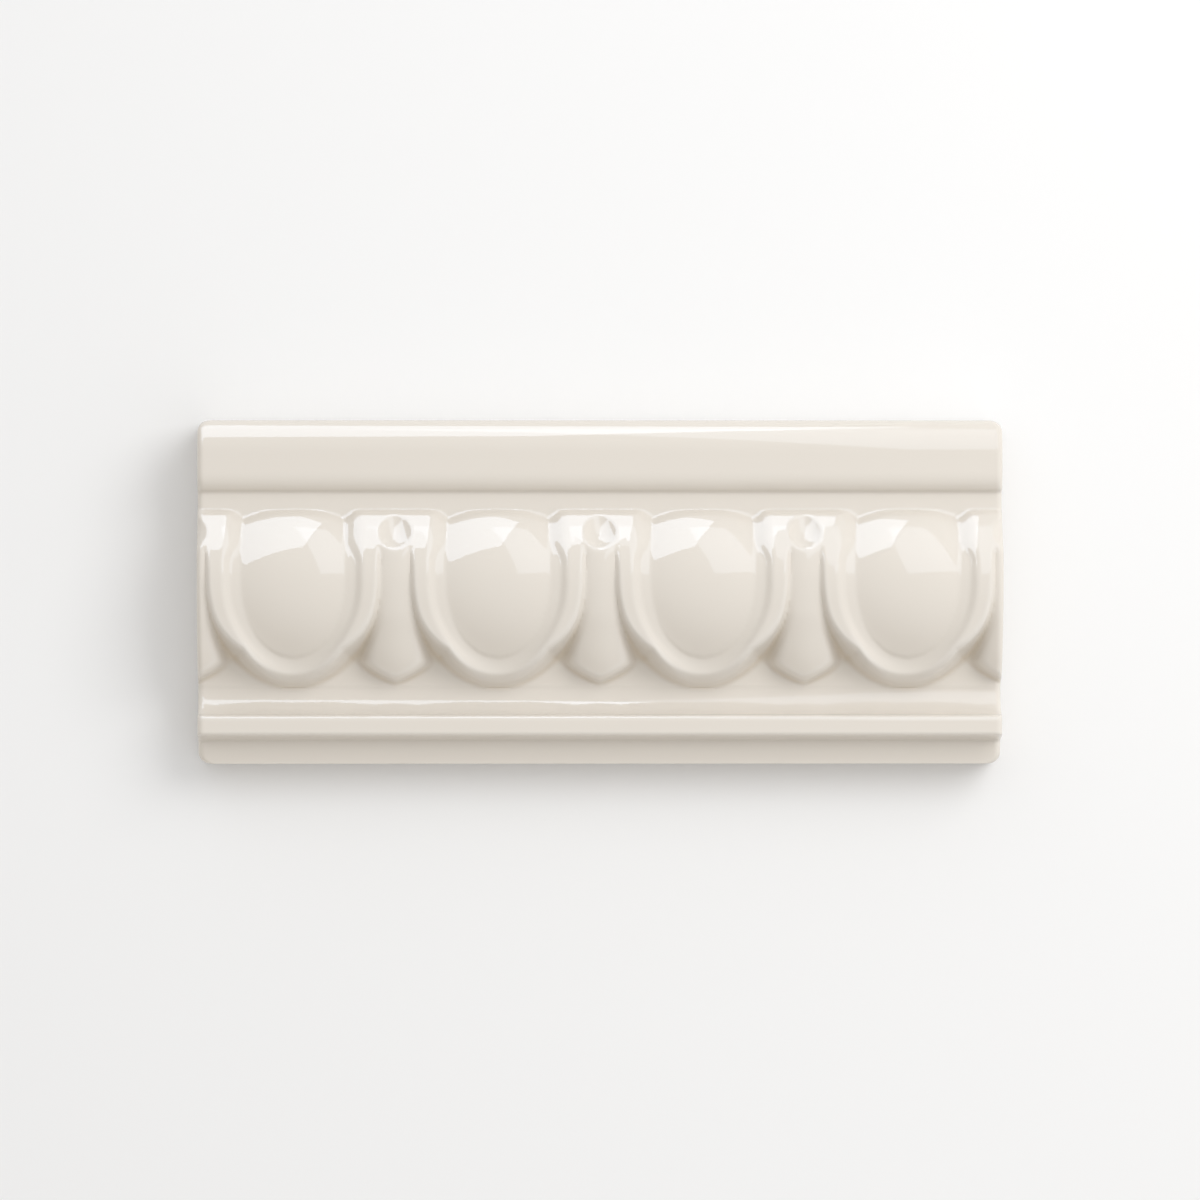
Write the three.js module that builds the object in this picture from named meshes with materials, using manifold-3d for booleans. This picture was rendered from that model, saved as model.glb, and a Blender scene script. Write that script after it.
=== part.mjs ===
// A glazed ceramic moulding tile with an egg and dart frieze, pressed and fired in one piece.
// Millimetres. X runs along the moulding, +Y points to its top edge, and +Z points out of its face.
// The origin is the middle of the flat back.
import * as THREE from "three";
import { mergeVertices } from "three/addons/utils/BufferGeometryUtils.js";
import Module from "manifold-3d";

// The run of the frieze: eggs at an even pitch, cut a little short of the dart's middle at each end.
const eggCount = 4;
const eggPitch = 38.6;
const endTrim = 1.2;
const tileLength = eggCount * eggPitch - 2 * endTrim;

// Widths of the bands across the face, from the top edge down.
const fasciaWidth = 13.5;
const coveWidth = 4.1;
const friezeWidth = 33;
const footWidth = 7.6;
const valleyWidth = 2;
const rampWidth = 4.4;
const beadWidth = 2.2;
const beadFallWidth = 1.7;
const lipWidth = 4.1;
const friezeTop = fasciaWidth + coveWidth;
const friezeBottom = friezeTop + friezeWidth;
const rampFoot = friezeBottom + valleyWidth;
const beadTop = rampFoot + rampWidth;
const beadBottom = beadTop + beadWidth;
const lipTop = beadBottom + beadFallWidth;
const tileWidth = lipTop + lipWidth;

// Heights above the back.
const fasciaHeight = 16;
const quirkHeight = 14;
const coveHeight = 14.8;
const valleyHeight = 9.2;
const beadHeight = 15.1;
const lipHeight = 9.3;
const lipEdgeHeight = 6.3;

// Rounding of the section and of the four corners.
const noseWidth = 6;
const noseHeight = 4;
const fasciaFallWidth = 3.4;
const cornerRadius = 2.2;

// The ovolo that the ornaments are cut into: an arched band across the frieze.
const ovoloCrownHeight = 19.6;
const ovoloCrownDown = 30.8;
const ovoloStartHeight = 14.9;
const ovoloRoundness = 2.2;
const ovoloFall = 11.5;

// Egg: its edge is straight above the waist and half an oval below, and its face bulges in the dish.
const waistDown = 30.5;
const eggHalfWidth = 9.75;
const eggBottom = 45.2;
const eggBulge = 1.15;
const eggFullness = 2.2;

// Shell: a dish that rises outwards from the egg's edge to a lip, with a line cut in it.
const dishDepth = 0.35;
const dishSlope = 0.17;
const lipRise = 0.45;
const lipFullDown = 22.5;
const lineHalfWidth = 12.1;
const lineBottom = 48.9;
const lineReach = 0.9;
const lineDepth = 1;
const lineTop = 19;
const lineFadeStart = 39;
const shellHalfWidth = 16.1;
const shellBottom = 50.3;
const wallDraft = 3;

// Channel: what is cut away beside the darts. It opens down into the valley.
const channelDepth = 1.2;
const channelTop = 23.5;
const channelSinkStart = 30;
const channelFloor = 8.9;

// Dart: a shaft that spreads between the shells into a blade, and comes to a point.
const dartClearance = 0.2;
const dartHalfWidth = 3.4;
const dartShoulderHalfWidth = 6.4;
const dartShoulder = 46.2;
const dartTip = 50.4;
const dartTaper = 1.3;
const dartCrestHeight = 19.5;
const dartFallStart = 28;
const dartBladeHeight = 14.6;
const dartBladeDown = 43;
const dartFootHeight = 9.4;
const dartRidge = 0.05;
const dartDraft = 1.6;

// Eye: a round hollow over each dart.
const eyeDown = 21.2;
const eyeRadius = 3.1;
const eyeDepth = 1.5;

// How far the glaze fills a corner or rounds an edge.
const fillet = 0.9;
const rounding = 1.3;
const bladeRounding = 3;
const foldFillet = 0.25;

// Shallow keys in the back, which hold the adhesive.
const keyRows = 2;
const keyWidth = 7;
const keyPitch = 13;
const keyDepth = 1.2;
const keyEndMargin = 10;

// Fineness of the surfaces.
const curveSteps = 6;
const cornerSteps = 4;
const pitchSteps = 40;
const friezeSteps = 30;
const mergeDistance = 1e-4;

const wasm = await Module();
wasm.setup();

const yOf = (down) => tileWidth / 2 - down;
const downOf = (y) => tileWidth / 2 - y;

// A closed geometry as a solid for joining and cutting.
function solidOf(geometry) {
  const bare = geometry.clone();
  bare.deleteAttribute("normal");
  bare.deleteAttribute("uv");
  const merged = mergeVertices(bare, mergeDistance);
  return new wasm.Manifold(
    new wasm.Mesh({
      numProp: 3,
      vertProperties: new Float32Array(merged.attributes.position.array),
      triVerts: new Uint32Array(merged.index.array),
    }),
  );
}

// A solid as a geometry that can be drawn.
function geometryOf(solid) {
  const mesh = solid.getMesh();
  const geometry = new THREE.BufferGeometry();
  geometry.setAttribute("position", new THREE.BufferAttribute(mesh.vertProperties, 3));
  geometry.setIndex(new THREE.BufferAttribute(mesh.triVerts, 1));
  geometry.computeVertexNormals();
  return geometry;
}

// The blank: the moulding's section, run along X.
function blank() {
  const section = new THREE.Shape();
  const to = (down, height) => section.lineTo(yOf(down), height);
  // An S curve that leaves and arrives level.
  const sweepTo = (fromDown, fromHeight, down, height) => {
    const middle = yOf((fromDown + down) / 2);
    section.bezierCurveTo(middle, fromHeight, middle, height, yOf(down), height);
  };
  section.moveTo(yOf(tileWidth), 0);
  to(0, 0);
  to(0, fasciaHeight - noseHeight);
  section.absellipse(
    yOf(noseWidth),
    fasciaHeight - noseHeight,
    noseWidth,
    noseHeight,
    0,
    Math.PI / 2,
  );
  to(fasciaWidth - fasciaFallWidth, fasciaHeight);
  section.absellipse(
    yOf(fasciaWidth - fasciaFallWidth),
    quirkHeight,
    fasciaFallWidth,
    fasciaHeight - quirkHeight,
    Math.PI / 2,
    Math.PI,
  );
  section.quadraticCurveTo(
    yOf(fasciaWidth + coveWidth / 2),
    quirkHeight,
    yOf(friezeTop),
    coveHeight,
  );
  sweepTo(friezeTop, coveHeight, friezeBottom - footWidth, valleyHeight);
  to(rampFoot, valleyHeight);
  sweepTo(rampFoot, valleyHeight, beadTop, beadHeight);
  to(beadBottom, beadHeight);
  sweepTo(beadBottom, beadHeight, lipTop, lipHeight);
  section.absellipse(
    yOf(lipTop),
    lipEdgeHeight,
    lipWidth,
    lipHeight - lipEdgeHeight,
    Math.PI / 2,
    Math.PI,
  );
  const run = new THREE.ExtrudeGeometry(section, {
    depth: tileLength,
    curveSegments: curveSteps,
    bevelEnabled: false,
  });
  run.applyMatrix4(
    new THREE.Matrix4().makeBasis(
      new THREE.Vector3(0, 1, 0),
      new THREE.Vector3(0, 0, 1),
      new THREE.Vector3(1, 0, 0),
    ),
  );
  run.translate(-tileLength / 2, 0, 0);
  return solidOf(run);
}

// How far a unit arc has fallen, at a share of its half width.
const arcFall = (share) => 1 - Math.sqrt(1 - Math.min(share, 1) ** 2);

const atLeastZero = (value) => Math.max(value, 0);

// 0 up to start, 1 from end on, and a smooth rise between.
const between = (value, start, end) => THREE.MathUtils.smoothstep(value, start, end);

// The higher of two heights, with the corner between them filled.
function fused(a, b, reach) {
  const overlap = atLeastZero(reach - Math.abs(a - b)) / reach;
  return Math.max(a, b) + (overlap ** 3 * reach) / 6;
}

// The lower of two heights, with the edge between them rounded.
const trimmed = (a, b, reach) => -fused(-a, -b, reach);

// 1 on an outline round the egg, and less inside it.
const ovalShare = (across, below, halfWidth, length) => Math.hypot(across / halfWidth, below / length);

// How far a point lies outside that outline.
function pastOutline(across, below, halfWidth, length) {
  const share = ovalShare(across, below, halfWidth, length);
  return share > 0 ? Math.hypot(across, below) * (1 - 1 / share) : -halfWidth;
}

function ovoloHeight(down) {
  const above = atLeastZero(ovoloCrownDown - down) / (ovoloCrownDown - friezeTop);
  const below = atLeastZero(down - ovoloCrownDown) / (friezeBottom - ovoloCrownDown);
  const rise = ovoloCrownHeight - ovoloStartHeight;
  return ovoloCrownHeight - above ** ovoloRoundness * rise - arcFall(below) * ovoloFall;
}

function channelHeight(down) {
  const cut = between(down, channelTop, ovoloCrownDown) * channelDepth;
  const top = ovoloHeight(down) + lipRise - cut;
  return THREE.MathUtils.lerp(top, channelFloor, between(down, channelSinkStart, friezeBottom));
}

// The dish and its lip over the whole frieze, before the channels are cut.
function dishHeight(fromEgg, below, down) {
  const swell = between(down, fasciaWidth, lipFullDown);
  const pastEgg = pastOutline(fromEgg, below, eggHalfWidth, eggBottom - waistDown);
  const pastLine = pastOutline(fromEgg, below, lineHalfWidth, lineBottom - waistDown);
  const lip = ovoloHeight(down) + lipRise * swell;
  const dish = ovoloHeight(down) - dishDepth + pastEgg * dishSlope * swell;
  const line = atLeastZero(1 - (pastLine / lineReach) ** 2) ** 2;
  const depth = between(down, lineTop, channelTop) * (1 - between(down, lineFadeStart, lineBottom));
  return trimmed(dish, lip, rounding) - line * depth * lineDepth;
}

function eggHeight(fromEgg, below, down) {
  const length = eggBottom - waistDown;
  const bulge = eggBulge * between(down, fasciaWidth, lipFullDown);
  const share = ovalShare(fromEgg, below, eggHalfWidth, length);
  const pastEgg = atLeastZero(pastOutline(fromEgg, below, eggHalfWidth, length));
  return ovoloHeight(down) - dishDepth + (1 - share ** eggFullness) * bulge - pastEgg * wallDraft;
}

function dartHeight(fromDart, below, down) {
  const oval = Math.sqrt(atLeastZero(1 - (below / (shellBottom - waistDown)) ** 2));
  const room = eggPitch / 2 - dartClearance - oval * shellHalfWidth;
  const toTip = THREE.MathUtils.clamp((down - dartShoulder) / (dartTip - dartShoulder), 0, 1);
  const bladeSide = dartShoulderHalfWidth * (1 - toTip ** dartTaper);
  const side = trimmed(Math.max(room, dartHalfWidth), bladeSide, rounding);
  const lowered = between(down, dartFallStart, dartBladeDown);
  const shaft = THREE.MathUtils.lerp(dartCrestHeight, dartBladeHeight, lowered);
  const toFoot = atLeastZero(down - dartBladeDown) / (dartTip - dartBladeDown);
  const top = shaft - arcFall(toFoot) * (dartBladeHeight - dartFootHeight) - fromDart ** 2 * dartRidge;
  return trimmed(top, channelHeight(down) + (side - fromDart) * dartDraft, bladeRounding);
}

// The height of the ornamented face over the back.
function ornamentHeight(along, down) {
  const pitches = along / eggPitch;
  const fromDart = Math.abs(pitches - Math.round(pitches)) * eggPitch;
  const fromEgg = eggPitch / 2 - fromDart;
  const below = atLeastZero(down - waistDown);
  const channel = channelHeight(down);
  const dish = dishHeight(fromEgg, below, down);
  const pastShell = pastOutline(fromEgg, below, shellHalfWidth, shellBottom - waistDown);
  const shell = trimmed(dish, channel - pastShell * wallDraft, rounding);
  const dart = trimmed(dartHeight(fromDart, below, down), dish, foldFillet);
  const ground = trimmed(channel, dish, foldFillet);
  const raised = fused(fused(ground, shell, fillet), dart, fillet);
  const offEye = Math.hypot(fromDart, down - eyeDown) / eyeRadius;
  const relief = fused(raised, eggHeight(fromEgg, below, down), foldFillet);
  return relief - atLeastZero(1 - offEye ** 2) * eyeDepth;
}

// The grid's squares left of each egg's middle are halved along their other diagonal, so that the
// triangles' edges follow the shell's wall on both of its sides.
function halveAlongWalls(grid) {
  const place = grid.attributes.position;
  const index = grid.index;
  const cornersOfSquare = 6;
  for (let i = 0; i < index.count; i += cornersOfSquare) {
    const [a, b, d, , c] = index.array.slice(i, i + cornersOfSquare);
    const pitches = (place.getX(a) + place.getX(c)) / 2 / eggPitch;
    if (pitches - Math.floor(pitches) < 1 / 2) {
      index.array.set([a, b, c, a, c, d], i);
    }
  }
}

// The frieze: a slab whose upper face is moved to the ornament's heights. Its lower face is buried.
function frieze() {
  const slab = new THREE.BoxGeometry(
    eggCount * eggPitch,
    friezeWidth,
    valleyHeight,
    eggCount * pitchSteps,
    friezeSteps,
    1,
  );
  halveAlongWalls(slab);
  slab.translate(0, yOf(friezeTop + friezeWidth / 2), 0);
  const place = slab.attributes.position;
  for (let i = 0; i < place.count; i++) {
    const upper = place.getZ(i) > 0;
    const height = upper ? ornamentHeight(place.getX(i), downOf(place.getY(i))) : valleyHeight / 2;
    place.setZ(i, height);
  }
  return solidOf(slab);
}

// The outline that the pressed face is trimmed to, with its small round corners.
function trim() {
  const x = tileLength / 2;
  const y = tileWidth / 2;
  const r = cornerRadius;
  const outline = new THREE.Shape();
  outline.absarc(x - r, y - r, r, 0, Math.PI / 2);
  outline.absarc(r - x, y - r, r, Math.PI / 2, Math.PI);
  outline.absarc(r - x, r - y, r, Math.PI, 1.5 * Math.PI);
  outline.absarc(x - r, r - y, r, 1.5 * Math.PI, 2 * Math.PI);
  outline.closePath();
  const depth = 2 * ovoloCrownHeight;
  return solidOf(
    new THREE.ExtrudeGeometry(outline, { depth, curveSegments: cornerSteps, bevelEnabled: false }),
  );
}

function key() {
  const halfRun = tileLength / 2 - keyEndMargin - keyWidth / 2;
  const slot = new THREE.Shape();
  slot.absarc(halfRun, 0, keyWidth / 2, -Math.PI / 2, Math.PI / 2);
  slot.absarc(-halfRun, 0, keyWidth / 2, Math.PI / 2, 1.5 * Math.PI);
  slot.closePath();
  const cut = new THREE.ExtrudeGeometry(slot, {
    depth: 2 * keyDepth,
    curveSegments: curveSteps,
    bevelEnabled: false,
  });
  cut.translate(0, 0, -keyDepth);
  return solidOf(cut);
}

// The whole tile.
function tile() {
  let body = blank().add(frieze()).intersect(trim());
  for (let n = 0; n < keyRows; n++) {
    const y = (n + 0.5) * keyPitch;
    body = body.subtract(key().translate([0, y, 0]));
    body = body.subtract(key().translate([0, -y, 0]));
  }
  return body;
}

const glaze = new THREE.MeshStandardMaterial({ color: 0xe4dccf, roughness: 0.08, metalness: 0 });

const moulding = new THREE.Group();
const relief = new THREE.Mesh(geometryOf(tile()), glaze);
relief.name = "relief_tile";
moulding.add(relief);

export default moulding;
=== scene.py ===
# %% [markdown]
# # An egg and dart moulding tile in cream glaze
# The tile is one piece of ceramic: clay is pressed in a mould, dried, glazed and fired. Its face has a
# plain rounded band, a frieze of eggs and darts, a valley, a small bead and a falling lower edge.
# This lesson keeps the packed model as its frame, builds a finer face over it, glazes it, and lights it.

import math

import bmesh
import bpy
from mathutils import Matrix, Vector


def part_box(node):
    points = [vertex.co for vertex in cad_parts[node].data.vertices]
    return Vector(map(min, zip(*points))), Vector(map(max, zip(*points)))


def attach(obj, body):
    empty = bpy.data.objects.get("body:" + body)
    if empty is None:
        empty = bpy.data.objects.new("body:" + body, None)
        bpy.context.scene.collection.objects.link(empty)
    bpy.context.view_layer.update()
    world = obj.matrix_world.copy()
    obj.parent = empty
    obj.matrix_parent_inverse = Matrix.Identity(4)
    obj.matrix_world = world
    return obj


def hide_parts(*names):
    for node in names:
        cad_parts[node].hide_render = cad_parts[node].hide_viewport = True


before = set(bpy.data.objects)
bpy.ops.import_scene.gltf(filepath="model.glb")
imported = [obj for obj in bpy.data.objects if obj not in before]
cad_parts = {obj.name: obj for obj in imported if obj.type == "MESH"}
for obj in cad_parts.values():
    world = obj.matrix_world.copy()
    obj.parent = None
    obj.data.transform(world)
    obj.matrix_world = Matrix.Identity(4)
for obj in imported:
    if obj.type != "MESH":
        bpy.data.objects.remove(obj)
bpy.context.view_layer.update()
scene = bpy.context.scene
MM = 0.001
print("Frame nodes:", sorted(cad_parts))

# %% [markdown]
# ## Sizes
# A moulding is designed from its section, so the sizes below go down the face from its top edge, in
# millimetres. Only the length, the width and the greatest height come from the frame, because the finer
# face has to stay inside it.

# %% Take the overall size from the frame and name the bands
low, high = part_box("relief_tile")
LENGTH = (high.x - low.x) / MM
WIDTH = (high.y - low.y) / MM
TOP_HEIGHT = (high.z - low.z) / MM

FASCIA_WIDTH = 13.5
FASCIA_HEIGHT = 16.0
NOSE_WIDTH = 6.0
NOSE_HEIGHT = 4.0
FASCIA_FALL = 3.4
QUIRK_HEIGHT = 13.6
COVE_HEIGHT = 13.7
COVE_END = 18.5
VALLEY_START = 43.0
VALLEY_END = 50.6
VALLEY_HEIGHT = 10.1
RAMP_WIDTH = 5.1
BEAD_NOSE = 0.8
BEAD_HEIGHT = 15.1
BEAD_END = 59.2
BEAD_FALL = 1.7
LIP_HEIGHT = 9.3
LIP_EDGE_HEIGHT = 6.3
print(f"The tile is {LENGTH:.1f} x {WIDTH:.1f} x {TOP_HEIGHT:.1f} mm")

# %% [markdown]
# ## A pen for sections
# Before it has an ornament, the tile is a plain run: one section, the same all the way along. A plasterer
# cuts such a section into a metal plate from a few kinds of line, so the pen below knows just those:
# straight lines, quarter ellipses and S curves.

# %% Make the pen
FINE_STEP = 0.05
LEAST_STEPS = 2
QUARTER_TO_CHORD = 1.15
SWEEP_TO_CHORD = 1.1


class Pen:
    """Draws a section as closely spaced (down, height) points."""

    def __init__(self, down, height):
        self.points = [Vector((down, height))]

    def follow(self, rule, length):
        steps = max(LEAST_STEPS, round(length / FINE_STEP))
        self.points += [rule(n / steps) for n in range(1, steps + 1)]

    def line(self, down, height):
        start, end = self.points[-1].copy(), Vector((down, height))
        self.follow(lambda s: start.lerp(end, s), (end - start).length)

    def quarter(self, down, height, level_first):
        """A quarter of an ellipse that starts level and ends upright, or the other way round."""
        start, end = self.points[-1].copy(), Vector((down, height))

        def rule(s):
            turn = s * math.pi / 2
            early, late = math.sin(turn), 1 - math.cos(turn)
            across, up = (early, late) if level_first else (late, early)
            return Vector((
                start.x + across * (end.x - start.x),
                start.y + up * (end.y - start.y),
            ))

        self.follow(rule, (end - start).length * QUARTER_TO_CHORD)

    def sweep(self, down, height):
        """An S curve that leaves level and arrives level."""
        start, end = self.points[-1].copy(), Vector((down, height))

        def rule(s):
            rise = s * s * (3 - 2 * s)
            return Vector((start.x + s * (end.x - start.x), start.y + rise * (end.y - start.y)))

        self.follow(rule, (end - start).length * SWEEP_TO_CHORD)


print("The pen sets a point every", FINE_STEP, "mm")

# %% [markdown]
# ## The section
# The pen goes from the top edge down to the lower one. Wet glaze fills every sharp corner a little, so
# the drawn line is averaged over a short reach. It is then thinned to one point for each row of the mesh,
# with close rows where the frieze starts, because its edge there is sharp.

# %% Draw the section and space its rows
GLAZE_REACH = 0.45
ROW_STEP = 0.34
FRIEZE_START = 16.7
CLOSE_REACH = 0.8
CLOSE_STEP = 0.08


def softened(points, reach):
    """The line with each point moved to the mean of its neighbours, as glaze rounds a corner."""
    count = round(reach / FINE_STEP)
    result = []
    for n in range(len(points)):
        span = min(count, n, len(points) - 1 - n)
        near = points[n - span:n + span + 1]
        result.append(sum(near, Vector((0, 0))) / len(near))
    return result


def section():
    pen = Pen(0, FASCIA_HEIGHT - NOSE_HEIGHT)
    pen.quarter(NOSE_WIDTH, FASCIA_HEIGHT, level_first=False)
    pen.line(FASCIA_WIDTH - FASCIA_FALL, FASCIA_HEIGHT)
    pen.quarter(FASCIA_WIDTH, QUIRK_HEIGHT, level_first=True)
    pen.line(COVE_END, COVE_HEIGHT)
    pen.sweep(VALLEY_START, VALLEY_HEIGHT)
    pen.line(VALLEY_END, VALLEY_HEIGHT)
    pen.quarter(VALLEY_END + RAMP_WIDTH, BEAD_HEIGHT - BEAD_NOSE, level_first=True)
    pen.quarter(VALLEY_END + RAMP_WIDTH + BEAD_NOSE, BEAD_HEIGHT, level_first=False)
    pen.line(BEAD_END, BEAD_HEIGHT)
    pen.sweep(BEAD_END + BEAD_FALL, LIP_HEIGHT)
    pen.quarter(WIDTH, LIP_EDGE_HEIGHT, level_first=True)
    return softened(pen.points, GLAZE_REACH)


def spaced(points, step):
    """Points of the line a step apart, closer where the frieze starts, with both ends."""
    kept = [points[0]]
    for point in points:
        close = abs(point.x - FRIEZE_START) < CLOSE_REACH
        if (point - kept[-1]).length >= (CLOSE_STEP if close else step):
            kept.append(point)
    if (points[-1] - kept[-1]).length < step / 2:
        kept.pop()
    return kept + [points[-1]]


rows = spaced(section(), ROW_STEP)
print("Rows down the face:", len(rows))

# %% [markdown]
# ## The plain face
# The section is now run along the tile, as a plasterer runs a cornice. The stations along the run are
# even in the middle and close together at the ends, where the edge will be rounded.

# %% Build the plain face
COLUMN_STEP = 0.39
END_RADIUS = 1.2
END_STATIONS = 7


def stations():
    middle = LENGTH / 2 - END_RADIUS
    count = round(2 * middle / COLUMN_STEP)
    even = [-middle + 2 * middle * n / count for n in range(count + 1)]
    turns = [n / END_STATIONS * math.pi / 2 for n in range(1, END_STATIONS + 1)]
    end = [middle + END_RADIUS * math.sin(turn) for turn in turns]
    return [-x for x in reversed(end)] + even + end


def plain_face():
    columns = stations()
    corners = [
        (x * MM, (WIDTH / 2 - point.x) * MM, point.y * MM)
        for x in columns for point in rows
    ]
    deep = len(rows)
    faces = [
        (a * deep + b, a * deep + b + 1, (a + 1) * deep + b + 1, (a + 1) * deep + b)
        for a in range(len(columns) - 1) for b in range(deep - 1)
    ]
    mesh = bpy.data.meshes.new("tile_face")
    mesh.from_pydata(corners, [], faces)
    piece = bpy.data.objects.new("tile", mesh)
    scene.collection.objects.link(piece)
    return piece


tile = plain_face()
print("Faces in the plain run:", len(tile.data.polygons))

# %% [markdown]
# ## Fields: sums that nodes can do
# The ornament is a height for each point of the face. Geometry Nodes work it out with Math nodes, and a
# formula of a hundred nodes is hard to read as wires. This small class writes each sum as Python would,
# and lays down the node for it.

# %% A helper that turns Python sums into Math nodes
class Field:
    """A number that changes over the face, held by an output socket of a node tree."""

    def __init__(self, tree, socket):
        self.tree = tree
        self.socket = socket

    def math(self, operation, *others):
        node = self.tree.nodes.new("ShaderNodeMath")
        node.operation = operation
        for place, value in enumerate((self, *others)):
            feed(self.tree, value, node.inputs[place])
        return Field(self.tree, node.outputs[0])

    def __add__(self, other):
        return self.math("ADD", other)

    def __radd__(self, other):
        return self.math("ADD", other)

    def __sub__(self, other):
        return self.math("SUBTRACT", other)

    def __rsub__(self, other):
        return (-self).math("ADD", other)

    def __mul__(self, other):
        return self.math("MULTIPLY", other)

    def __truediv__(self, other):
        return self.math("DIVIDE", other)

    def __pow__(self, other):
        return self.math("POWER", other)

    def __neg__(self):
        return self.math("MULTIPLY", -1.0)

    def root(self):
        return self.floor(0.0).math("SQRT")

    def absolute(self):
        return self.math("ABSOLUTE")

    def floor(self, least):
        return self.math("MAXIMUM", least)

    def ceiling(self, most):
        return self.math("MINIMUM", most)

    def below(self, level):
        """1 where the value is below the level, 0 elsewhere."""
        return self.math("LESS_THAN", level)

    def fused(self, other, reach):
        """The higher of two, with the corner between them filled."""
        return self.math("SMOOTH_MAX", other, reach)

    def trimmed(self, other, reach):
        """The lower of two, with the edge between them rounded."""
        return self.math("SMOOTH_MIN", other, reach)

    def between(self, start, end):
        """0 up to start, 1 from end on, and a smooth rise between."""
        node = self.tree.nodes.new("ShaderNodeMapRange")
        node.interpolation_type = "SMOOTHSTEP"
        feed(self.tree, self, node.inputs["Value"])
        feed(self.tree, start, node.inputs["From Min"])
        feed(self.tree, end, node.inputs["From Max"])
        return Field(self.tree, node.outputs["Result"])

    def to_nearest(self, pitch):
        """How far the value is from the nearest whole number of pitches."""
        return self.math("PINGPONG", pitch / 2)


def feed(tree, value, socket):
    if isinstance(value, Field):
        tree.links.new(value.socket, socket)
    else:
        socket.default_value = value


print("Sums that a field can do:", sum(1 for name in vars(Field) if name != "__init__"))

# %% [markdown]
# ## The ornament's sizes
# These are the inputs of the node tree; a change to any of them changes the whole run of eggs and darts.
# Lengths are in millimetres, and a draft is the slope of a wall: a carver's pattern needs walls that
# lean, or the pressed clay would not leave the mould.

# %% Name the inputs of the ornament
ORNAMENT = {
    "Pitch": 38.6,
    "Relief start": 16.2,
    "Relief full": 17.9,
    "Ovolo start": 17.6,
    "Ovolo crown down": 30.8,
    "Ovolo crown height": 19.65,
    "Ovolo rise": 5.6,
    "Ovolo roundness": 2.2,
    "Ovolo foot down": 50.6,
    "Ovolo fall": 12.0,
    "Waist down": 30.5,
    "Egg half width": 9.75,
    "Egg length below": 14.2,
    "Egg bulge": 1.2,
    "Egg fullness": 2.2,
    "Egg shoulder": 21.5,
    "Egg narrowing": 1.4,
    "Dish depth": 0.6,
    "Dish slope": 0.1,
    "Lip height": 0.5,
    "Step half width": 12.6,
    "Step length below": 16.6,
    "Step reach": 1.0,
    "Ear reach": 2.4,
    "Ear start": 22.0,
    "Ear end": 27.0,
    "Step fade": 41.0,
    "Step end": 47.0,
    "Rim start": 35.0,
    "Rim full": 46.5,
    "Rim curl": 0.14,
    "Rim height": 0.8,
    "Rim fill": 1.0,
    "Shell half width": 16.4,
    "Shell length below": 20.3,
    "Shell outer draft": 3.0,
    "Channel start": 23.5,
    "Channel full": 30.0,
    "Channel depth": 0.7,
    "Channel sink start": 36.0,
    "Channel sink end": 51.0,
    "Channel sink": 4.4,
    "Channel floor": 9.6,
    "Dart gap": 0.3,
    "Dart narrow half width": 3.5,
    "Dart shoulder half width": 7.0,
    "Dart shoulder": 45.4,
    "Dart tip": 50.2,
    "Dart crest height": 19.2,
    "Dart fall start": 26.0,
    "Dart fall end": 51.2,
    "Dart foot height": 9.6,
    "Dart taper": 1.7,
    "Dart draft": 2.0,
    "Dart ridge": 0.05,
    "Eye down": 21.2,
    "Eye radius": 3.1,
    "Eye depth": 1.3,
    "End radius": END_RADIUS,
    "Corner radius": 2.2,
}
print("Named sizes in the tree:", len(ORNAMENT))

# %% [markdown]
# ## Ovals, and where a point lies
# Eggs and shells have the same kind of outline: straight sides above the waist, half an oval below it.
# The run repeats, so a point only has to know how far it is from the nearest egg and the nearest dart.

# %% Measure a point's place
NEAR_ZERO = 0.01


def arc_fall(share):
    """How far a unit arc has fallen, at a share of its half width: 0 at its crown and 1 at its foot."""
    return 1.0 - (1.0 - share.ceiling(1.0) ** 2).root()


def oval_share(across, below, half_width, length):
    """1 on an outline whose sides are straight above and half an oval below, less inside it."""
    return ((across / half_width) ** 2 + (below / length) ** 2).root().floor(NEAR_ZERO)


def past_outline(across, below, half_width, length):
    """How far a point lies outside that outline."""
    ray = (across ** 2 + below ** 2).root().floor(NEAR_ZERO)
    return ray - ray / oval_share(across, below, half_width, length)


class Place:
    """Where a point of the face is, seen from the nearest dart, the nearest egg and the waist."""

    def __init__(self, along, down, size):
        self.down = down
        self.from_dart = along.to_nearest(size["Pitch"])
        self.below_waist = (down - size["Waist down"]).floor(0.0)
        from_egg = size["Pitch"] / 2 - self.from_dart
        from_shoulder = (size["Egg shoulder"] - down).floor(0.0)
        self.in_shell = (from_egg, self.below_waist)
        self.in_egg = (from_egg, self.below_waist + from_shoulder * size["Egg narrowing"])
        self.past_egg = past_outline(*self.in_egg, size["Egg half width"], size["Egg length below"])
        self.rim = down.between(size["Rim start"], size["Rim full"])


print("A point's place is measured from a dart every", ORNAMENT["Pitch"], "mm")

# %% [markdown]
# ## The ovolo and its channels
# An ovolo is the arched band that a carver starts from. Everything else is cut into it, or stands a
# little proud of it. The channels are what is cut away beside the darts, down to the valley.

# %% Shape the ovolo, the line of the shafts and the channels
SINK_ROUNDING = 0.6
CONCENTRIC = 0.06


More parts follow.
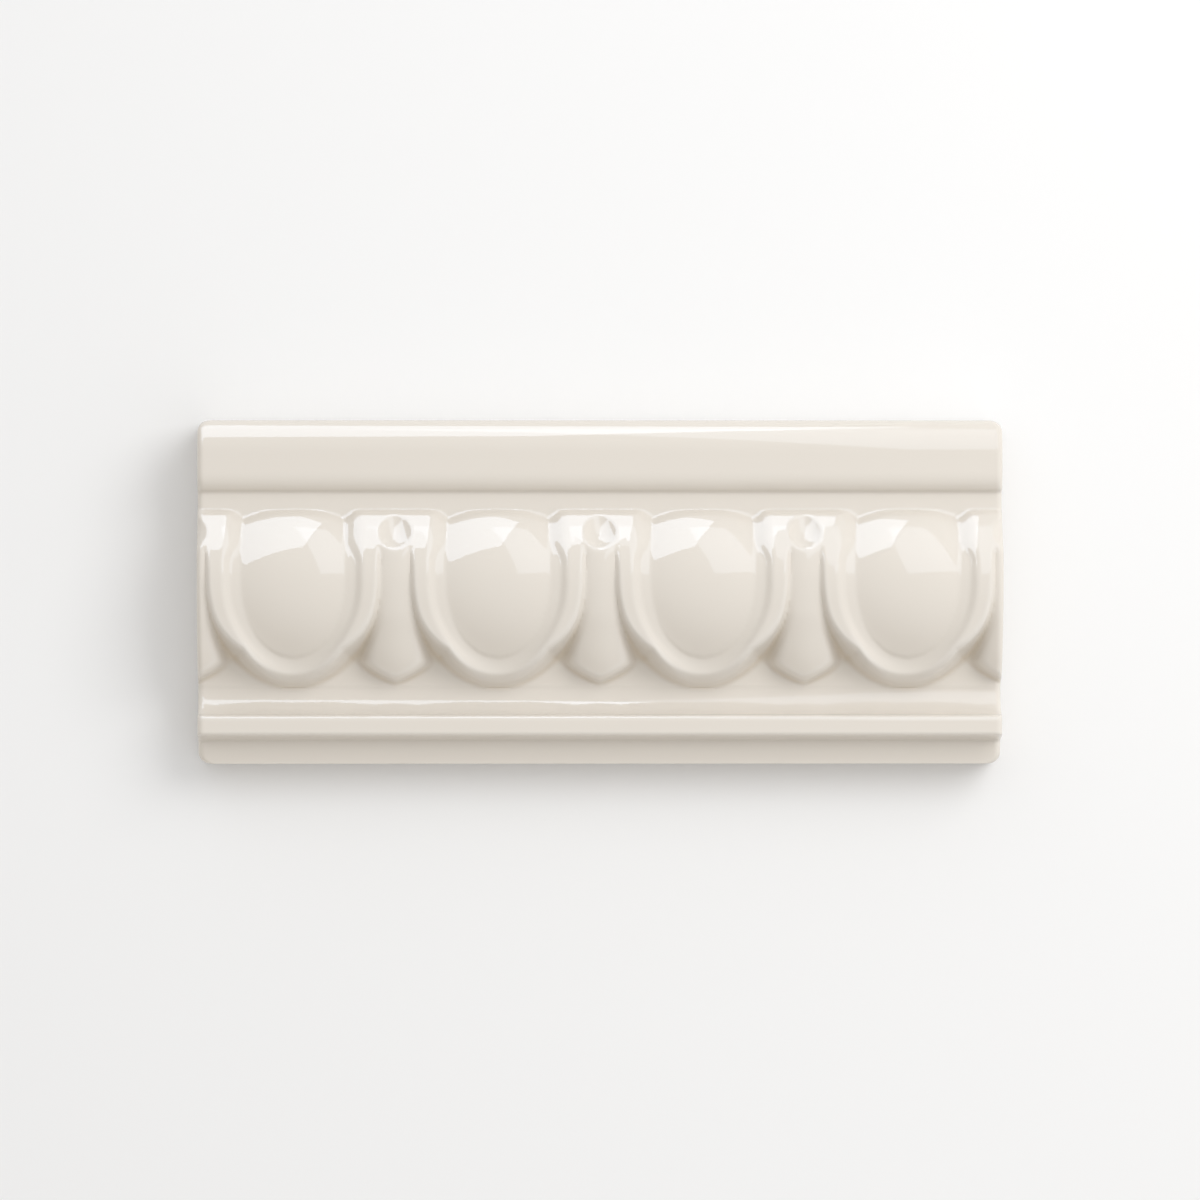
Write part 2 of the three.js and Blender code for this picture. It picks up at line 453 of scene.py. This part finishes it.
class Ovolo:
    """The arched band, as a height that other forms can stand on."""

    def __init__(self, place, size):
        down, crown = place.down, size["Ovolo crown down"]
        below = (down - crown).floor(0.0) / (size["Ovolo foot down"] - crown)
        self.size = size
        self.above = (crown - down).floor(0.0) / (crown - size["Ovolo start"])
        self.fall = arc_fall(below) * size["Ovolo fall"]
        self.swell = down.between(size["Relief start"], size["Relief full"])

    def proud(self, offset):
        """A surface that stands the offset over the ovolo. The higher it stands, the rounder it is."""
        offset = offset * self.swell
        above = self.above * (1.0 - offset * CONCENTRIC)
        rise = above ** self.size["Ovolo roundness"] * self.size["Ovolo rise"]
        return self.size["Ovolo crown height"] + offset - rise - self.fall


def shaft_line(place, size):
    """The line that a dart's crest follows from top to foot."""
    fall_length = size["Dart fall end"] - size["Dart fall start"]
    to_foot = (place.down - size["Dart fall start"]).floor(0.0) / fall_length
    fall = arc_fall(to_foot) * (size["Dart foot height"] - size["Dart crest height"])
    return fall + size["Dart crest height"] - place.from_dart ** 2 * size["Dart ridge"]


def channel_bottom(place, size, ovolo, shaft):
    down = place.down
    cut = down.between(size["Channel start"], size["Channel full"]) * size["Channel depth"]
    sink = down.between(size["Channel sink start"], size["Channel sink end"]) * size["Channel sink"]
    beside = ovolo.proud(size["Lip height"] - cut)
    return beside.trimmed(shaft - sink, SINK_ROUNDING).floor(size["Channel floor"])


print("The ovolo's crown is", ORNAMENT["Ovolo crown height"], "mm over the back")

# %% [markdown]
# ## The shells and the eggs
# A shell is a dish round its egg, with a soft step up to a lip. Near the frieze's top the step spreads
# into a broad ear. At the bottom there is no step, and the dish curls up into a rim that is nearly level,
# which catches the light. The egg bulges up inside the dish.

# %% Shape the shells and the eggs
ROUNDING = 1.3
LIP_ROUNDING = 0.6
EDGE_DROP = 3.0


def collar_top(place, size, ovolo):
    """The dish with its step and its lip, as if the shell had no outer edge."""
    down = place.down
    past_step = past_outline(*place.in_shell, size["Step half width"], size["Step length below"])
    ear = size["Ear reach"] * (1.0 - down.between(size["Ear start"], size["Ear end"]))
    step = past_step.between(-(ear + size["Step reach"]), size["Step reach"])
    step = step * (1.0 - down.between(size["Step fade"], size["Step end"]))
    curl = place.past_egg.floor(0.0) ** 2 * place.rim * size["Rim curl"]
    lip = size["Lip height"] + place.rim * size["Rim height"]
    dished = place.past_egg * size["Dish slope"] + curl - size["Dish depth"]
    stepped = dished + step * (lip - dished)
    return ovolo.proud(stepped.trimmed(lip, LIP_ROUNDING))


def shell_top(place, size, collar, channel):
    """The collar, cut off by the wall that leans down from the lip to the channel."""
    past_shell = past_outline(*place.in_shell, size["Shell half width"], size["Shell length below"])
    return collar.trimmed(channel - past_shell * size["Shell outer draft"], ROUNDING)


def egg_top(place, size, ovolo):
    share = oval_share(*place.in_egg, size["Egg half width"], size["Egg length below"])
    bulge = (1.0 - share ** size["Egg fullness"]) * size["Egg bulge"] - size["Dish depth"]
    return ovolo.proud(bulge) - place.past_egg.floor(0.0) * EDGE_DROP


print("An egg is", 2 * ORNAMENT["Egg half width"], "mm wide")

# %% [markdown]
# ## The darts and their eyes
# A dart is a shaft that spreads between two shells into a blade, and comes to a blunt point. Over each
# dart there is an eye, a round hollow that a carver would make with one turn of a gouge.

# %% Shape the darts and the eyes
DART_ROUNDING = 3.2
SHOULDER_ROUNDING = 3.2
TIP_ROUNDING = 0.8
FOLD_FILLET = 0.25
EYE_ROUNDING = 0.05


def dart_top(place, size, shaft, collar, channel):
    shell_side = (1.0 - (place.below_waist / size["Shell length below"]) ** 2).root()
    room = size["Pitch"] / 2 - size["Dart gap"] - shell_side * size["Shell half width"]
    blade_length = size["Dart tip"] - size["Dart shoulder"]
    to_tip = ((place.down - size["Dart shoulder"]) / blade_length).floor(0.0)
    blade_side = size["Dart shoulder half width"] * (1.0 - to_tip ** size["Dart taper"])
    side = room.floor(size["Dart narrow half width"]).trimmed(blade_side, SHOULDER_ROUNDING)
    off_middle = (place.from_dart ** 2 + TIP_ROUNDING ** 2).root()
    walls = channel + (side - off_middle) * size["Dart draft"]
    return shaft.trimmed(collar, FOLD_FILLET).trimmed(walls, DART_ROUNDING)


def eye_cut(place, size):
    down_from_eye = place.down - size["Eye down"]
    off_eye = (place.from_dart ** 2 + down_from_eye ** 2).root() / size["Eye radius"]
    return (1.0 - off_eye ** 2).fused(0.0, EYE_ROUNDING) * size["Eye depth"]


print("An eye is", 2 * ORNAMENT["Eye radius"], "mm across")

# %% [markdown]
# ## The whole relief
# All of the forms grow out of the plain run, and the glaze fills the corners between them. The corners
# are sharp near the frieze's top and soft in the channels, where more glaze gathers.

# %% Join the forms
FILLET = 1.9
START_FILLET = 0.08
GROUND_FILLET = 0.6


def ornament_height(blank, along, down, size):
    """The height of the face over the back, from the plain run's height and the place on the face."""
    place = Place(along, down, size)
    ovolo = Ovolo(place, size)
    shaft = shaft_line(place, size)
    channel = channel_bottom(place, size, ovolo, shaft)
    collar = collar_top(place, size, ovolo)
    shell = shell_top(place, size, collar, channel)
    dart = dart_top(place, size, shaft, collar, channel)
    egg = egg_top(place, size, ovolo)

    fill = START_FILLET + down.between(size["Channel start"], size["Channel full"]) * FILLET
    relief = channel.trimmed(collar, START_FILLET).fused(shell, fill).fused(dart, fill)
    relief = relief.fused(egg, FOLD_FILLET + place.rim * size["Rim fill"])
    relief = relief - eye_cut(place, size)
    return blank.fused(relief, fill + GROUND_FILLET)


print("Glaze fills corners over about", FILLET, "mm")

# %% [markdown]
# ## Places in a tree
# The tree works in the same millimetres as the sizes do: along the run, down from the top edge, and up.
# These helpers take a point's place apart, put a new one together, and move points to it.

# %% Helpers that read and move points
def add_node(tree, kind, **settings):
    node = tree.nodes.new(kind)
    for name, value in settings.items():
        setattr(node, name, value)
    return node


def moved(tree, geometry, position, selection=None):
    node = add_node(tree, "GeometryNodeSetPosition")
    tree.links.new(geometry, node.inputs["Geometry"])
    tree.links.new(position, node.inputs["Position"])
    if selection is not None:
        tree.links.new(selection, node.inputs["Selection"])
    return node.outputs["Geometry"]


def place_fields(tree):
    """Where a point is, in millimetres: along the run, down from the top edge, and its height."""
    position = add_node(tree, "GeometryNodeInputPosition")
    parts = add_node(tree, "ShaderNodeSeparateXYZ")
    tree.links.new(position.outputs[0], parts.inputs[0])
    x, y, z = (Field(tree, output) / MM for output in parts.outputs)
    return x, WIDTH / 2 - y, z


def joined_place(tree, x, down, z):
    parts = add_node(tree, "ShaderNodeCombineXYZ")
    for value, socket in zip((x, WIDTH / 2 - down, z), parts.inputs):
        feed(tree, value * MM, socket)
    return parts.outputs[0]


def at_level(tree, height):
    """The same place, but at one height."""
    x, down, _ = place_fields(tree)
    return joined_place(tree, x, down, height)


def boundary_edges(tree):
    """True on edges that have a face on one side only."""
    neighbours = add_node(tree, "GeometryNodeInputMeshEdgeNeighbors")
    test = add_node(tree, "FunctionNodeCompare", data_type="INT", operation="EQUAL")
    tree.links.new(neighbours.outputs[0], test.inputs[2])
    test.inputs[3].default_value = 1
    return test.outputs[0]


print("One unit of the fields is", MM, "m")

# %% [markdown]
# ## From face to body
# The relief comes first. Each point then notes how deep it lies below the mean of its surroundings, for
# the glaze to pool in and for the painted shade of the hollows. The ends are rounded over, the corners
# are rounded in plan, and the outline is drawn down to the floor to make the sides.

# %% Steps from the plain face to the body
BLUR_STEPS = 14
CORNER_PULL = 12.0


def with_relief(tree, geometry, size):
    x, down, z = place_fields(tree)
    height = ornament_height(z, x, down, size)
    return moved(tree, geometry, joined_place(tree, x, down, height))


def with_hollows(tree, geometry):
    """The face with its depth below its surroundings kept in an attribute."""
    _, _, z = place_fields(tree)
    blur = add_node(tree, "GeometryNodeBlurAttribute", data_type="FLOAT")
    feed(tree, z, blur.inputs[0])
    blur.inputs["Iterations"].default_value = BLUR_STEPS
    # This depth also sets the painted shade in the glaze's hollows.
    store = add_node(tree, "GeometryNodeStoreNamedAttribute", data_type="FLOAT", domain="POINT")
    store.inputs["Name"].default_value = "hollow"
    tree.links.new(geometry, store.inputs["Geometry"])
    feed(tree, Field(tree, blur.outputs[0]) - z, store.inputs["Value"])
    return store.outputs[0]


def with_round_ends(tree, geometry, size):
    x, down, z = place_fields(tree)
    end_radius, corner = size["End radius"], size["Corner radius"]
    past_end = (x.absolute() - (LENGTH / 2 - end_radius)).floor(0.0)
    end_drop = end_radius - (end_radius ** 2 - past_end ** 2).root()
    into_top = (corner - down).floor(0.0)
    into_bottom = (down - (WIDTH - corner)).floor(0.0)
    inset = corner - (corner ** 2 - (into_top + into_bottom) ** 2).root()
    near_end = x.absolute().between(LENGTH / 2 - CORNER_PULL, LENGTH / 2)
    shrink = 1.0 - near_end * inset / (LENGTH / 2)
    return moved(tree, geometry, joined_place(tree, x * shrink, down, z - end_drop))


def with_sides(tree, geometry):
    sides = add_node(tree, "GeometryNodeExtrudeMesh", mode="EDGES")
    tree.links.new(geometry, sides.inputs["Mesh"])
    tree.links.new(boundary_edges(tree), sides.inputs["Selection"])
    sides.inputs["Offset Scale"].default_value = 0.0
    return moved(tree, sides.outputs["Mesh"], at_level(tree, 0.0), sides.outputs["Top"])


print("The ends are rounded over", END_RADIUS, "mm")

# %% [markdown]
# ## The back
# The back is a flat sheet with four long keys pressed into it, which hold the adhesive. A key's outline
# is drawn once, and copies of it are set out along a line of points. Fill Curve takes the outlines inside
# another as holes, so the sheet is filled round the keys, and each key gets a floor and walls.

# %% Steps that make the back
KEY_ROWS = 4
KEY_PITCH = 13.0
KEY_WIDTH = 7.0
KEY_DEPTH = 1.2
KEY_END_MARGIN = 10.0
KEY_STEPS = 10


def joined(tree, *parts):
    join = add_node(tree, "GeometryNodeJoinGeometry")
    for part in parts:
        tree.links.new(part, join.inputs[0])
    return join.outputs[0]


def filled(tree, curves):
    fill = add_node(tree, "GeometryNodeFillCurve", mode="TRIANGLES")
    tree.links.new(curves, fill.inputs["Curve"])
    return fill.outputs["Mesh"]


def outline_of(tree, body):
    """The body's open edge, as a curve."""
    outline = add_node(tree, "GeometryNodeMeshToCurve")
    tree.links.new(body, outline.inputs["Mesh"])
    tree.links.new(boundary_edges(tree), outline.inputs["Selection"])
    return outline.outputs["Curve"]


def realized(tree, geometry):
    real = add_node(tree, "GeometryNodeRealizeInstances")
    tree.links.new(geometry, real.inputs["Geometry"])
    return real.outputs["Geometry"]


def key_outlines(tree):
    long_shape = add_node(tree, "GeometryNodeCurvePrimitiveQuadrilateral")
    long_shape.inputs["Width"].default_value = (LENGTH - 2 * KEY_END_MARGIN) * MM
    long_shape.inputs["Height"].default_value = KEY_WIDTH * MM
    round_ends = add_node(tree, "GeometryNodeFilletCurve", mode="POLY")
    tree.links.new(long_shape.outputs["Curve"], round_ends.inputs["Curve"])
    round_ends.inputs["Count"].default_value = KEY_STEPS
    round_ends.inputs["Radius"].default_value = KEY_WIDTH / 2 * MM
    places = add_node(tree, "GeometryNodeMeshLine")
    places.inputs["Count"].default_value = KEY_ROWS
    places.inputs["Start Location"].default_value = (0, -(KEY_ROWS - 1) / 2 * KEY_PITCH * MM, 0)
    places.inputs["Offset"].default_value = (0, KEY_PITCH * MM, 0)
    copies = add_node(tree, "GeometryNodeInstanceOnPoints")
    tree.links.new(places.outputs["Mesh"], copies.inputs["Points"])
    tree.links.new(round_ends.outputs["Curve"], copies.inputs["Instance"])
    return realized(tree, copies.outputs["Instances"])


def back_face(tree, outline, keys):
    sheet = filled(tree, joined(tree, outline, keys))
    key_floor = moved(tree, filled(tree, keys), at_level(tree, KEY_DEPTH))
    key_edges = add_node(tree, "GeometryNodeCurveToMesh")
    tree.links.new(keys, key_edges.inputs["Curve"])
    walls = add_node(tree, "GeometryNodeExtrudeMesh", mode="EDGES")
    tree.links.new(key_edges.outputs["Mesh"], walls.inputs["Mesh"])
    walls.inputs["Offset Scale"].default_value = 0.0
    key_walls = moved(tree, walls.outputs["Mesh"], at_level(tree, KEY_DEPTH), walls.outputs["Top"])
    return joined(tree, sheet, key_floor, key_walls)


print("Keys in the back:", KEY_ROWS)

# %% [markdown]
# ## The tree
# The body and the back are joined into one closed piece. It is glazed all over, and then the faces that
# lie no higher than the keys' floors become bare clay again, as a potter wipes the glaze off the back.

# %% Build the tree
MERGE_DISTANCE = 0.002
WIPE_MARGIN = 0.2


def with_material(tree, geometry, material, selection=True):
    node = add_node(tree, "GeometryNodeSetMaterial")
    tree.links.new(geometry, node.inputs["Geometry"])
    feed(tree, selection, node.inputs["Selection"])
    node.inputs["Material"].default_value = material
    return node.outputs["Geometry"]


def merged(tree, geometry):
    merge = add_node(tree, "GeometryNodeMergeByDistance")
    tree.links.new(geometry, merge.inputs["Geometry"])
    merge.inputs["Distance"].default_value = MERGE_DISTANCE * MM
    return merge.outputs["Geometry"]


def tile_tree(glaze, biscuit):
    tree = bpy.data.node_groups.new("egg_and_dart_tile", "GeometryNodeTree")
    face = tree.interface
    face.new_socket("Geometry", in_out="INPUT", socket_type="NodeSocketGeometry")
    for name in ORNAMENT:
        face.new_socket(name, in_out="INPUT", socket_type="NodeSocketFloat")
    face.new_socket("Geometry", in_out="OUTPUT", socket_type="NodeSocketGeometry")
    inputs = add_node(tree, "NodeGroupInput")
    size = {name: Field(tree, inputs.outputs[name]) for name in ORNAMENT}

    relief = with_relief(tree, inputs.outputs["Geometry"], size)
    rounded = with_round_ends(tree, with_hollows(tree, relief), size)
    body = with_sides(tree, rounded)
    back = back_face(tree, outline_of(tree, body), key_outlines(tree))

    whole = realized(tree, merged(tree, joined(tree, back, body)))
    _, _, z = place_fields(tree)
    wiped = z.below(KEY_DEPTH + WIPE_MARGIN)
    finished = with_material(tree, with_material(tree, whole, glaze), biscuit, wiped)
    output = add_node(tree, "NodeGroupOutput")
    tree.links.new(finished, output.inputs["Geometry"])
    print("Nodes in the tree:", len(tree.nodes))
    return tree


# %% [markdown]
# ## Mottling
# Neither clay nor glaze is even, so both finishes share a group that mottles a surface at two scales. It
# reads Object coordinates, because the pattern belongs to the piece and not to the view of it.

# %% A group that mottles a surface
BROAD_RATIO = 1.0
BROAD_DETAIL = 2.0
FINE_RATIO = 9.0
FINE_DETAIL = 4.0


def mottle_group():
    tree = bpy.data.node_groups.new("mottle", "ShaderNodeTree")
    face = tree.interface
    face.new_socket("Size", in_out="INPUT", socket_type="NodeSocketFloat")
    face.new_socket("Broad", in_out="OUTPUT", socket_type="NodeSocketFloat")
    face.new_socket("Fine", in_out="OUTPUT", socket_type="NodeSocketFloat")
    inputs = add_node(tree, "NodeGroupInput")
    output = add_node(tree, "NodeGroupOutput")
    place = add_node(tree, "ShaderNodeTexCoord")
    layers = (("Broad", BROAD_RATIO, BROAD_DETAIL), ("Fine", FINE_RATIO, FINE_DETAIL))
    for name, ratio, detail in layers:
        noise = add_node(tree, "ShaderNodeTexNoise")
        tree.links.new(place.outputs["Object"], noise.inputs["Vector"])
        feed(tree, Field(tree, inputs.outputs["Size"]) * ratio, noise.inputs["Scale"])
        noise.inputs["Detail"].default_value = detail
        tree.links.new(noise.outputs[0], output.inputs[name])
    return tree


mottle = mottle_group()
print("Sockets of the group:", [item.name for item in mottle.interface.items_tree])

# %% [markdown]
# ## Tools for a finish
# Both finishes mix two or three colours by a mask, and both have an unevenness that is too fine to model,
# so a bump gives it to the light alone.

# %% Helpers for materials
def new_material(name):
    material = bpy.data.materials.new(name)
    material.use_nodes = True
    return material, material.node_tree, material.node_tree.nodes["Principled BSDF"]


def mottled(tree, size):
    node = add_node(tree, "ShaderNodeGroup", node_tree=mottle)
    node.inputs["Size"].default_value = size
    return Field(tree, node.outputs["Broad"]), Field(tree, node.outputs["Fine"])


def mixed_colour(tree, amount, low_colour, high_colour):
    """A mix of two colours. Its sockets go by number, because several kinds share each name."""
    node = add_node(tree, "ShaderNodeMix", data_type="RGBA")
    feed(tree, amount, node.inputs[0])
    feed(tree, low_colour, node.inputs[6])
    feed(tree, high_colour, node.inputs[7])
    return Field(tree, node.outputs[2])


def bumped(tree, shader, height, strength, distance):
    bump = add_node(tree, "ShaderNodeBump")
    bump.inputs["Strength"].default_value = strength
    bump.inputs["Distance"].default_value = distance * MM
    feed(tree, height, bump.inputs["Height"])
    tree.links.new(bump.outputs["Normal"], shader.inputs["Normal"])


print("Materials so far:", len(bpy.data.materials))

# %% [markdown]
# ## The cream glaze
# The glaze is a thin layer of cream coloured glass. It is thin and pale on the crests. In the hollows it
# is a little darker and warmer: partly glaze that gathers there, partly painted shade for the light the
# hollows lose. The tree has left the depth of each hollow in an attribute, so the glaze reads that. Its
# gloss is nearly a mirror's, with a long, faint waviness.

# %% Mix the glaze
GLAZE_CREST = (0.745, 0.705, 0.650, 1)
GLAZE_FACE = (0.718, 0.672, 0.609, 1)
# Colour of the hollows: glaze that gathers there, together with painted shade.
GLAZE_POOL_AND_SHADE = (0.675, 0.595, 0.485, 1)
POOL_AND_SHADE_DEPTHS = (0.15, 1.3)
CREST_HEIGHTS = (0.02, 0.5)
GLAZE_MOTTLE_SIZE = 60.0
GLAZE_MOTTLE = 0.05
MEAN_MOTTLE = 0.5
GLAZE_ROUGHNESS = 0.025
GLAZE_IOR = 1.52
GLAZE_WAVE = 0.06
GLAZE_WAVE_DEPTH = 0.2


def glaze_material():
    material, tree, shader = new_material("cream_glaze")
    hollow = add_node(tree, "ShaderNodeAttribute", attribute_name="hollow")
    depth = Field(tree, hollow.outputs["Fac"])
    broad, _ = mottled(tree, GLAZE_MOTTLE_SIZE)
    # Darker in the hollows: partly glaze pooling, partly painted shade.
    pooled_and_shaded = depth.between(*POOL_AND_SHADE_DEPTHS)
    thin = (-depth).between(*CREST_HEIGHTS)
    face = mixed_colour(tree, thin, GLAZE_FACE, GLAZE_CREST)
    pooled_and_shaded = pooled_and_shaded + (broad - MEAN_MOTTLE) * GLAZE_MOTTLE
    feed(tree, mixed_colour(tree, pooled_and_shaded, face, GLAZE_POOL_AND_SHADE), shader.inputs["Base Color"])
    shader.inputs["Roughness"].default_value = GLAZE_ROUGHNESS
    shader.inputs["IOR"].default_value = GLAZE_IOR
    bumped(tree, shader, broad, GLAZE_WAVE, GLAZE_WAVE_DEPTH)
    return material


glaze = glaze_material()
print("Finish of the face:", glaze.name)

# %% [markdown]
# ## The bare biscuit
# The back is fired clay without glaze, which potters call biscuit: matt, slightly grainy, and patchy
# where the kiln was hotter.

# %% Mix the biscuit
BISCUIT_PALE = (0.74, 0.69, 0.61, 1)
BISCUIT_DARK = (0.62, 0.56, 0.48, 1)
BISCUIT_PATCHES = (0.3, 0.7)
BISCUIT_MOTTLE_SIZE = 90.0
BISCUIT_ROUGHNESS = 0.85
BISCUIT_GRAIN = 0.4
BISCUIT_GRAIN_DEPTH = 0.3


def biscuit_material():
    material, tree, shader = new_material("bare_biscuit")
    broad, fine = mottled(tree, BISCUIT_MOTTLE_SIZE)
    colour = mixed_colour(tree, broad.between(*BISCUIT_PATCHES), BISCUIT_PALE, BISCUIT_DARK)
    feed(tree, colour, shader.inputs["Base Color"])
    shader.inputs["Roughness"].default_value = BISCUIT_ROUGHNESS
    bumped(tree, shader, fine, BISCUIT_GRAIN, BISCUIT_GRAIN_DEPTH)
    return material


biscuit = biscuit_material()
print("Finish of the back:", biscuit.name)

# %% [markdown]
# ## Press and fire
# The modifier's inputs are set by their identifiers, then the evaluated result becomes a plain mesh. The
# piece has to be closed, so the edges without two faces are counted.

# %% Run the tree and keep its result
SHARP_ANGLE = math.radians(50)


def pressed(piece, tree):
    modifier = piece.modifiers.new("press", "NODES")
    modifier.node_group = tree
    for item in tree.interface.items_tree:
        if item.name in ORNAMENT:
            modifier[item.identifier] = ORNAMENT[item.name]
    bpy.context.view_layer.update()
    graph = bpy.context.evaluated_depsgraph_get()
    mesh = bpy.data.meshes.new_from_object(piece.evaluated_get(graph), depsgraph=graph)
    piece.modifiers.remove(modifier)
    piece.data = mesh
    work = bmesh.new()
    work.from_mesh(mesh)
    bmesh.ops.recalc_face_normals(work, faces=work.faces)
    open_edges = sum(1 for edge in work.edges if len(edge.link_faces) != 2)
    volume = work.calc_volume(signed=True) / MM ** 3
    work.to_mesh(mesh)
    work.free()
    mesh.shade_smooth()
    mesh.set_sharp_from_angle(angle=SHARP_ANGLE)
    mesh.calc_loop_triangles()
    print("Open edges:", open_edges, "volume in cubic mm:", round(volume))
    print("Triangles:", len(mesh.loop_triangles))
    return piece


pressed(tile, tile_tree(glaze, biscuit))
tile.name = "glazed_relief_tile"
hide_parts("relief_tile")
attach(tile, "root")

# %% [markdown]
# ## The floor
# The tile lies on a plain pale floor that doesn't compete with it. The floor is not a part of the piece,
# and lies a hair lower than the tile's back, so that no two faces share a level.

# %% Lay the floor
FLOOR_SIZE = 3.0
FLOOR_COLOUR = (0.86, 0.86, 0.86, 1)
FLOOR_ROUGHNESS = 0.9
FLOOR_GAP = 0.2


def floor_piece():
    half = FLOOR_SIZE / 2
    mesh = bpy.data.meshes.new("floor")
    mesh.from_pydata(
        [(-half, -half, 0), (half, -half, 0), (half, half, 0), (-half, half, 0)], [], [(0, 1, 2, 3)]
    )
    plane = bpy.data.objects.new("floor", mesh)
    scene.collection.objects.link(plane)
    material, _, shader = new_material("pale_floor")
    shader.inputs["Base Color"].default_value = FLOOR_COLOUR
    shader.inputs["Roughness"].default_value = FLOOR_ROUGHNESS
    mesh.materials.append(material)
    plane.location.z = -FLOOR_GAP * MM
    return plane


floor_piece()
print("The floor is", FLOOR_SIZE, "m square")

# %% [markdown]
# ## Lights
# Gloss shows a light as a shape, so its edges matter as much as its strength. Two cool panels are seen
# only in the gloss: a bright one beyond the top edge to the left, and a dim, long one beyond it to the
# right. A third light, high on the right, gives the clay its light and isn't seen in the gloss. The
# studio's places are in metres.

# %% Hang the lights
DAYLIGHT = (0.72, 0.83, 1.0)
WHITE = (1.0, 1.0, 1.0)


def soft_light(name, corner, along, down_edge, brightness, colour, gloss_only):
    """A glowing rectangle, placed by one corner and the two edges that leave it."""
    data = bpy.data.lights.new(name, "AREA")
    data.color = colour
    data.shape = "RECTANGLE"
    along, down_edge = Vector(along), Vector(down_edge)
    across = along.normalized()
    back = across.cross(down_edge).normalized()
    up = back.cross(across)
    centre = Vector(corner) + (along + down_edge) / 2
    if back.dot(centre) < 0:
        across, back = -across, -back
    data.size = along.length
    data.size_y = abs(down_edge.dot(up))
    data.energy = brightness * math.pi * data.size * data.size_y
    lamp = bpy.data.objects.new(name, data)
    lamp.matrix_world = Matrix((across, up, back)).transposed().to_4x4()
    lamp.location = centre
    lamp.visible_camera = False
    lamp.visible_glossy = gloss_only
    lamp.visible_diffuse = not gloss_only
    scene.collection.objects.link(lamp)
    print(name, "faces the tile from", [round(v, 2) for v in lamp.location])
    return lamp


soft_light(
    "key",
    corner=(-0.02, 0.53, 0.58),
    along=(-0.305, -0.385, -0.19),
    down_edge=(0.135, 0.17, -0.44),
    brightness=4.2,
    colour=DAYLIGHT,
    gloss_only=True,
)
soft_light(
    "panel",
    corner=(0.06, 0.09, 0.60),
    along=(0.35, 0.06, 0),
    down_edge=(-0.10, 0.95, -0.2),
    brightness=1.7,
    colour=DAYLIGHT,
    gloss_only=True,
)
soft_light(
    "fill",
    corner=(0.30, 0.05, 0.80),
    along=(0.40, 0.10, -0.25),
    down_edge=(-0.10, 0.50, -0.20),
    brightness=3.4,
    colour=WHITE,
    gloss_only=False,
)

# %% [markdown]
# ## The room
# The room is white all round, but darker and warmer towards the left and the near side. That dark side
# is what draws the shells' walls: those that face it turn brown, and those that face away stay pale.

# %% Paint the room
ROOM_LIGHT = (1.0, 1.0, 1.0, 1)
ROOM_SHADE = (0.58, 0.53, 0.46, 1)
ROOM_STRENGTH = 0.86
SHADE_TO_LEFT = 0.55
SHADE_TO_NEAR = 0.8
SHADE_RANGE = (0.15, 0.95)


def studio_world():
    world = bpy.data.worlds.new("studio")
    scene.world = world
    world.use_nodes = True
    tree = world.node_tree
    direction = add_node(tree, "ShaderNodeTexCoord")
    parts = add_node(tree, "ShaderNodeSeparateXYZ")
    tree.links.new(direction.outputs["Generated"], parts.inputs[0])
    x, y = Field(tree, parts.outputs[0]), Field(tree, parts.outputs[1])
    to_shade = -(x * SHADE_TO_LEFT + y * SHADE_TO_NEAR)
    colour = mixed_colour(tree, to_shade.between(*SHADE_RANGE), ROOM_LIGHT, ROOM_SHADE)
    background = tree.nodes["Background"]
    feed(tree, colour, background.inputs["Color"])
    background.inputs["Strength"].default_value = ROOM_STRENGTH
    return world


print("Room:", studio_world().name)

# %% [markdown]
# ## The camera
# The camera looks down on the tile from well above, a little to the left of its middle. From so far away
# the tile hardly narrows, as in a catalogue picture. The lens follows from the width of the picture.

# %% Set the camera
FRAME_WIDTH = 226.9 * MM
VIEW_HEIGHT = 1.5
VIEW_OFFSET = -0.025
FACE_LEVEL = 0.012
AIM_DOWN = -0.0015
SENSOR = 36.0
NEAREST = 0.01
FARTHEST = 10


def set_camera():
    data = bpy.data.cameras.new("camera")
    camera = bpy.data.objects.new("camera", data)
    scene.collection.objects.link(camera)
    place = Vector((VIEW_OFFSET, 0, VIEW_HEIGHT))
    aim = Vector((0, AIM_DOWN, FACE_LEVEL)) - place
    back = -aim.normalized()
    across = Vector((0, 1, 0)).cross(back).normalized()
    up = back.cross(across)
    camera.matrix_world = Matrix((across, up, back)).transposed().to_4x4()
    camera.location = place
    data.sensor_width = SENSOR
    data.lens = SENSOR * aim.length / FRAME_WIDTH
    data.clip_start = NEAREST
    data.clip_end = FARTHEST
    scene.camera = camera
    return data


print(f"The lens is {set_camera().lens:.0f} mm")
scene.view_settings.view_transform = "Standard"

# %% [markdown]
# ## The size
# The finished tile has to stay inside the frame's box.
